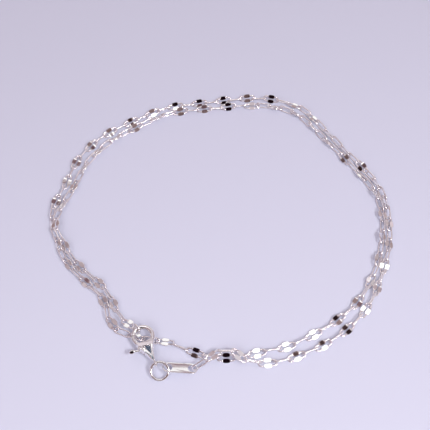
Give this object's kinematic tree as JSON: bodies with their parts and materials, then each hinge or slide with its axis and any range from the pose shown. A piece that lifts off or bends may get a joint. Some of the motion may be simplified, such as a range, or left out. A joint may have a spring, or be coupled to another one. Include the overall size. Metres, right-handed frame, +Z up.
{
  "type": "link chain necklace",
  "caption": "Fine silver link chain necklace with pressed pads, wound double and closed by a lobster clasp with a sprung lever, a round ring and a bare tag.",
  "frame": {"origin": "the middle of the foot of the bounding box, on the surface that the necklace lies on", "axes": "+Z up, +X along the loop's longer side, the clasp at -X and -Y"},
  "size_m": [0.076, 0.0734, 0.0028],
  "materials": {
    "chain_run_a": "polished silver",
    "chain_run_b": "polished silver",
    "middle_link_1": "polished silver",
    "middle_link_2": "polished silver",
    "middle_link_3": "polished silver",
    "middle_link_4": "polished silver",
    "end_link": "polished silver",
    "tag_link": "polished silver",
    "end_ring": "polished silver",
    "clasp_ring": "polished silver",
    "tag": "mirror-polished bare silver plate",
    "clasp_body": "polished silver",
    "clasp_lever": "polished silver",
    "lever_pin": "polished silver pin, flush in the clasp"
  },
  "bodies": {
    "necklace": {"chain_run_a": "chain_run_a", "chain_run_b": "chain_run_b", "middle_link_1": "middle_link_1", "middle_link_2": "middle_link_2", "middle_link_3": "middle_link_3", "middle_link_4": "middle_link_4", "end_link": "end_link", "tag_link": "tag_link", "end_ring": "end_ring", "clasp_ring": "clasp_ring", "tag": "tag", "clasp_body": "clasp_body", "lever_pin": "lever_pin"},
    "lever": {"clasp_lever": "clasp_lever"}
  },
  "joints": [
    {"name": "lever_hinge", "type": "hinge", "parent": "necklace", "child": "lever", "pos_m": [-0.0152, -0.03075, 0.0017], "axis": [0, 0, -1], "range_deg": [0, 18], "stiffness_Nm_per_rad": 0.012, "springref_deg": -5.73}
  ]
}
